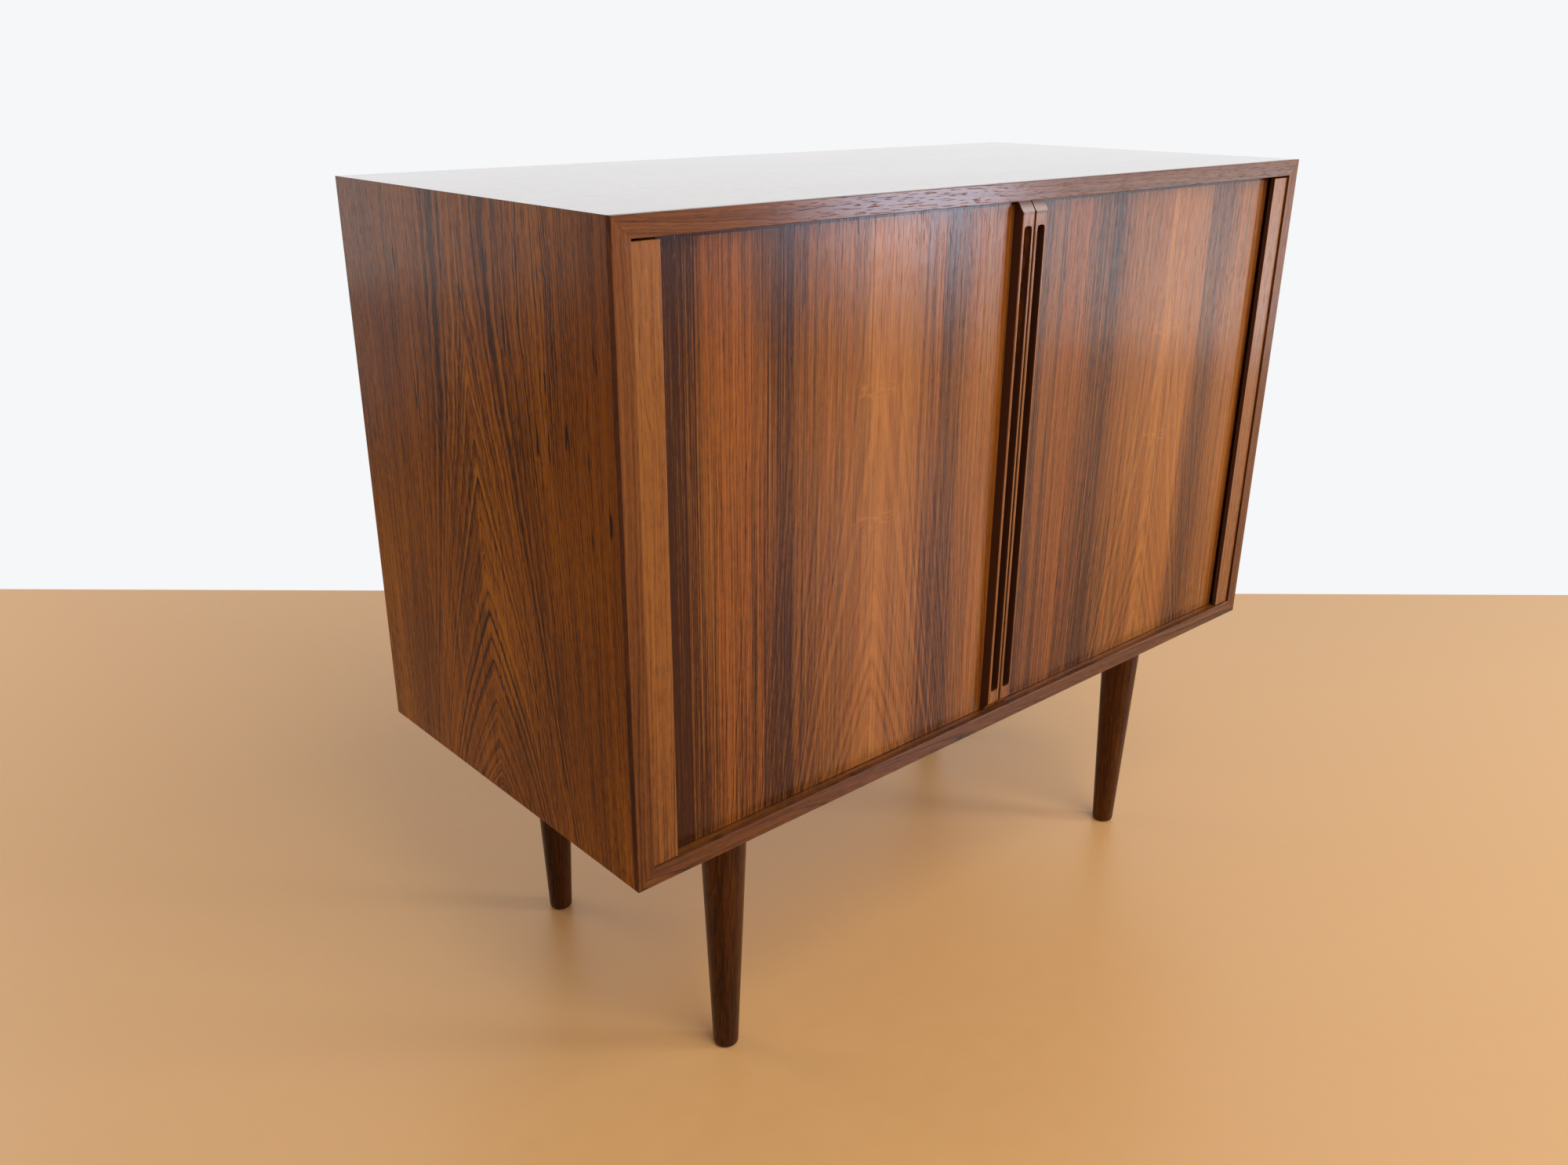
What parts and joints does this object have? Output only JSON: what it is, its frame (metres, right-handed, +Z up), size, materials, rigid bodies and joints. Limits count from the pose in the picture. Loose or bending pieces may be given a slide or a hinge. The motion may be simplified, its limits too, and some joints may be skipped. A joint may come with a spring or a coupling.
{
  "type": "tambour door cabinet",
  "caption": "Low wooden cabinet on turned tapered legs, with tambour doors of narrow upright slats that slide apart behind end stiles.",
  "frame": {"origin": "on the floor under the middle of the cabinet, centre of the bounding box's bottom", "axes": "+X along the width to the right, +Y from the front to the back, +Z up"},
  "size_m": [1, 0.47, 0.888],
  "materials": {
    "case_veneer": "satin",
    "lipping_wood": "satin",
    "stile_wood": "satin",
    "curtain_wood": "satin",
    "rail_wood": "satin",
    "leg_wood": "satin",
    "inside_wood": "matt",
    "back_wood": "matt",
    "pin_brass": "satin"
  },
  "bodies": {
    "case": {"top_panel": "case_veneer", "bottom_panel": "case_veneer", "left_side": "case_veneer", "right_side": "case_veneer", "top_lipping": "lipping_wood", "bottom_lipping": "lipping_wood", "left_lipping": "lipping_wood", "right_lipping": "lipping_wood", "back_panel": "back_wood", "left_stile": "stile_wood", "right_stile": "stile_wood", "left_inner_side": "inside_wood", "right_inner_side": "inside_wood", "centre_divider": "inside_wood", "left_shelf": "inside_wood", "right_shelf": "inside_wood", "front_left_leg": "leg_wood", "front_right_leg": "leg_wood", "back_left_leg": "leg_wood", "back_right_leg": "leg_wood", "left_shelf_pin_outer_front": "pin_brass", "left_shelf_pin_outer_back": "pin_brass", "left_shelf_pin_inner_front": "pin_brass", "left_shelf_pin_inner_back": "pin_brass", "right_shelf_pin_outer_front": "pin_brass", "right_shelf_pin_outer_back": "pin_brass", "right_shelf_pin_inner_front": "pin_brass", "right_shelf_pin_inner_back": "pin_brass"},
    "left_lead_rail": {"left_lead_rail": "rail_wood"},
    "left_slats_01": {"left_slats_01": "curtain_wood"},
    "left_slats_02": {"left_slats_02": "curtain_wood"},
    "left_slats_03": {"left_slats_03": "curtain_wood"},
    "left_slats_04": {"left_slats_04": "curtain_wood"},
    "left_slats_05": {"left_slats_05": "curtain_wood"},
    "left_slats_06": {"left_slats_06": "curtain_wood"},
    "left_slats_07": {"left_slats_07": "curtain_wood"},
    "left_slats_08": {"left_slats_08": "curtain_wood"},
    "left_slats_09": {"left_slats_09": "curtain_wood"},
    "left_slats_10": {"left_slats_10": "curtain_wood"},
    "left_slats_11": {"left_slats_11": "curtain_wood"},
    "left_slats_12": {"left_slats_12": "curtain_wood"},
    "left_slats_13": {"left_slats_13": "curtain_wood"},
    "right_lead_rail": {"right_lead_rail": "rail_wood"},
    "right_slats_01": {"right_slats_01": "curtain_wood"},
    "right_slats_02": {"right_slats_02": "curtain_wood"},
    "right_slats_03": {"right_slats_03": "curtain_wood"},
    "right_slats_04": {"right_slats_04": "curtain_wood"},
    "right_slats_05": {"right_slats_05": "curtain_wood"},
    "right_slats_06": {"right_slats_06": "curtain_wood"},
    "right_slats_07": {"right_slats_07": "curtain_wood"},
    "right_slats_08": {"right_slats_08": "curtain_wood"},
    "right_slats_09": {"right_slats_09": "curtain_wood"},
    "right_slats_10": {"right_slats_10": "curtain_wood"},
    "right_slats_11": {"right_slats_11": "curtain_wood"},
    "right_slats_12": {"right_slats_12": "curtain_wood"},
    "right_slats_13": {"right_slats_13": "curtain_wood"}
  },
  "joints": [
    {"name": "left_curtain_slide", "type": "slide", "parent": "case", "child": "left_lead_rail", "axis": [-1, 0, 0], "range_m": [0, 0.4327]},
    {"name": "left_slats_01_slide", "type": "slide", "parent": "case", "child": "left_slats_01", "axis": [-0.9999, 0.0153, 0], "range_m": [0, 0.42422], "deforming": ["left_slats_01"]},
    {"name": "left_slats_02_slide", "type": "slide", "parent": "case", "child": "left_slats_02", "axis": [-0.9994, 0.0335, 0], "range_m": [0, 0.38839], "deforming": ["left_slats_02"]},
    {"name": "left_slats_03_slide", "type": "slide", "parent": "case", "child": "left_slats_03", "axis": [-0.9985, 0.0553, 0], "range_m": [0, 0.35271], "deforming": ["left_slats_03"]},
    {"name": "left_slats_04_slide", "type": "slide", "parent": "case", "child": "left_slats_04", "axis": [-0.9966, 0.082, 0], "range_m": [0, 0.31724], "deforming": ["left_slats_04"]},
    {"name": "left_slats_05_slide", "type": "slide", "parent": "case", "child": "left_slats_05", "axis": [-0.9933, 0.1152, 0], "range_m": [0, 0.28205], "deforming": ["left_slats_05"]},
    {"name": "left_slats_06_slide", "type": "slide", "parent": "case", "child": "left_slats_06", "axis": [-0.9875, 0.1577, 0], "range_m": [0, 0.24727], "deforming": ["left_slats_06"]},
    {"name": "left_slats_07_slide", "type": "slide", "parent": "case", "child": "left_slats_07", "axis": [-0.9769, 0.2135, 0], "range_m": [0, 0.21308], "deforming": ["left_slats_07"]},
    {"name": "left_slats_08_slide", "type": "slide", "parent": "case", "child": "left_slats_08", "axis": [-0.9573, 0.2892, 0], "range_m": [0, 0.17985], "deforming": ["left_slats_08"]},
    {"name": "left_slats_09_slide", "type": "slide", "parent": "case", "child": "left_slats_09", "axis": [-0.9188, 0.3948, 0], "range_m": [0, 0.14821], "deforming": ["left_slats_09"]},
    {"name": "left_slats_10_slide", "type": "slide", "parent": "case", "child": "left_slats_10", "axis": [-0.8388, 0.5444, 0], "range_m": [0, 0.11941], "deforming": ["left_slats_10"]},
    {"name": "left_slats_11_slide", "type": "slide", "parent": "case", "child": "left_slats_11", "axis": [-0.6678, 0.7443, 0], "range_m": [0, 0.09608], "deforming": ["left_slats_11"]},
    {"name": "left_slats_12_slide", "type": "slide", "parent": "case", "child": "left_slats_12", "axis": [-0.3395, 0.9406, 0], "range_m": [0, 0.08294], "deforming": ["left_slats_12"]},
    {"name": "left_slats_13_slide", "type": "slide", "parent": "case", "child": "left_slats_13", "axis": [0, 1, 0], "range_m": [0, 0.08452], "deforming": ["left_slats_13"]},
    {"name": "right_curtain_slide", "type": "slide", "parent": "case", "child": "right_lead_rail", "axis": [1, 0, 0], "range_m": [0, 0.4327]},
    {"name": "right_slats_01_slide", "type": "slide", "parent": "case", "child": "right_slats_01", "axis": [0.9999, 0.0153, 0], "range_m": [0, 0.42422], "deforming": ["right_slats_01"]},
    {"name": "right_slats_02_slide", "type": "slide", "parent": "case", "child": "right_slats_02", "axis": [0.9994, 0.0335, 0], "range_m": [0, 0.38839], "deforming": ["right_slats_02"]},
    {"name": "right_slats_03_slide", "type": "slide", "parent": "case", "child": "right_slats_03", "axis": [0.9985, 0.0553, 0], "range_m": [0, 0.35271], "deforming": ["right_slats_03"]},
    {"name": "right_slats_04_slide", "type": "slide", "parent": "case", "child": "right_slats_04", "axis": [0.9966, 0.082, 0], "range_m": [0, 0.31724], "deforming": ["right_slats_04"]},
    {"name": "right_slats_05_slide", "type": "slide", "parent": "case", "child": "right_slats_05", "axis": [0.9933, 0.1152, 0], "range_m": [0, 0.28205], "deforming": ["right_slats_05"]},
    {"name": "right_slats_06_slide", "type": "slide", "parent": "case", "child": "right_slats_06", "axis": [0.9875, 0.1577, 0], "range_m": [0, 0.24727], "deforming": ["right_slats_06"]},
    {"name": "right_slats_07_slide", "type": "slide", "parent": "case", "child": "right_slats_07", "axis": [0.9769, 0.2135, 0], "range_m": [0, 0.21308], "deforming": ["right_slats_07"]},
    {"name": "right_slats_08_slide", "type": "slide", "parent": "case", "child": "right_slats_08", "axis": [0.9573, 0.2892, 0], "range_m": [0, 0.17985], "deforming": ["right_slats_08"]},
    {"name": "right_slats_09_slide", "type": "slide", "parent": "case", "child": "right_slats_09", "axis": [0.9188, 0.3948, 0], "range_m": [0, 0.14821], "deforming": ["right_slats_09"]},
    {"name": "right_slats_10_slide", "type": "slide", "parent": "case", "child": "right_slats_10", "axis": [0.8388, 0.5444, 0], "range_m": [0, 0.11941], "deforming": ["right_slats_10"]},
    {"name": "right_slats_11_slide", "type": "slide", "parent": "case", "child": "right_slats_11", "axis": [0.6678, 0.7443, 0], "range_m": [0, 0.09608], "deforming": ["right_slats_11"]},
    {"name": "right_slats_12_slide", "type": "slide", "parent": "case", "child": "right_slats_12", "axis": [0.3395, 0.9406, 0], "range_m": [0, 0.08294], "deforming": ["right_slats_12"]},
    {"name": "right_slats_13_slide", "type": "slide", "parent": "case", "child": "right_slats_13", "axis": [0, 1, 0], "range_m": [0, 0.08452], "deforming": ["right_slats_13"]}
  ],
  "couplings": [
    {"joint": "left_slats_01_slide", "follows": "left_curtain_slide", "ratio": 0.98036},
    {"joint": "left_slats_02_slide", "follows": "left_curtain_slide", "ratio": 0.89754},
    {"joint": "left_slats_03_slide", "follows": "left_curtain_slide", "ratio": 0.81509},
    {"joint": "left_slats_04_slide", "follows": "left_curtain_slide", "ratio": 0.73311},
    {"joint": "left_slats_05_slide", "follows": "left_curtain_slide", "ratio": 0.65179},
    {"joint": "left_slats_06_slide", "follows": "left_curtain_slide", "ratio": 0.5714},
    {"joint": "left_slats_07_slide", "follows": "left_curtain_slide", "ratio": 0.49241},
    {"joint": "left_slats_08_slide", "follows": "left_curtain_slide", "ratio": 0.4156},
    {"joint": "left_slats_09_slide", "follows": "left_curtain_slide", "ratio": 0.34247},
    {"joint": "left_slats_10_slide", "follows": "left_curtain_slide", "ratio": 0.27593},
    {"joint": "left_slats_11_slide", "follows": "left_curtain_slide", "ratio": 0.222},
    {"joint": "left_slats_12_slide", "follows": "left_curtain_slide", "ratio": 0.19164},
    {"joint": "left_slats_13_slide", "follows": "left_curtain_slide", "ratio": 0.19529},
    {"joint": "right_slats_01_slide", "follows": "right_curtain_slide", "ratio": 0.98036},
    {"joint": "right_slats_02_slide", "follows": "right_curtain_slide", "ratio": 0.89754},
    {"joint": "right_slats_03_slide", "follows": "right_curtain_slide", "ratio": 0.81509},
    {"joint": "right_slats_04_slide", "follows": "right_curtain_slide", "ratio": 0.73311},
    {"joint": "right_slats_05_slide", "follows": "right_curtain_slide", "ratio": 0.65179},
    {"joint": "right_slats_06_slide", "follows": "right_curtain_slide", "ratio": 0.5714},
    {"joint": "right_slats_07_slide", "follows": "right_curtain_slide", "ratio": 0.49241},
    {"joint": "right_slats_08_slide", "follows": "right_curtain_slide", "ratio": 0.4156},
    {"joint": "right_slats_09_slide", "follows": "right_curtain_slide", "ratio": 0.34247},
    {"joint": "right_slats_10_slide", "follows": "right_curtain_slide", "ratio": 0.27593},
    {"joint": "right_slats_11_slide", "follows": "right_curtain_slide", "ratio": 0.222},
    {"joint": "right_slats_12_slide", "follows": "right_curtain_slide", "ratio": 0.19164},
    {"joint": "right_slats_13_slide", "follows": "right_curtain_slide", "ratio": 0.19529}
  ]
}
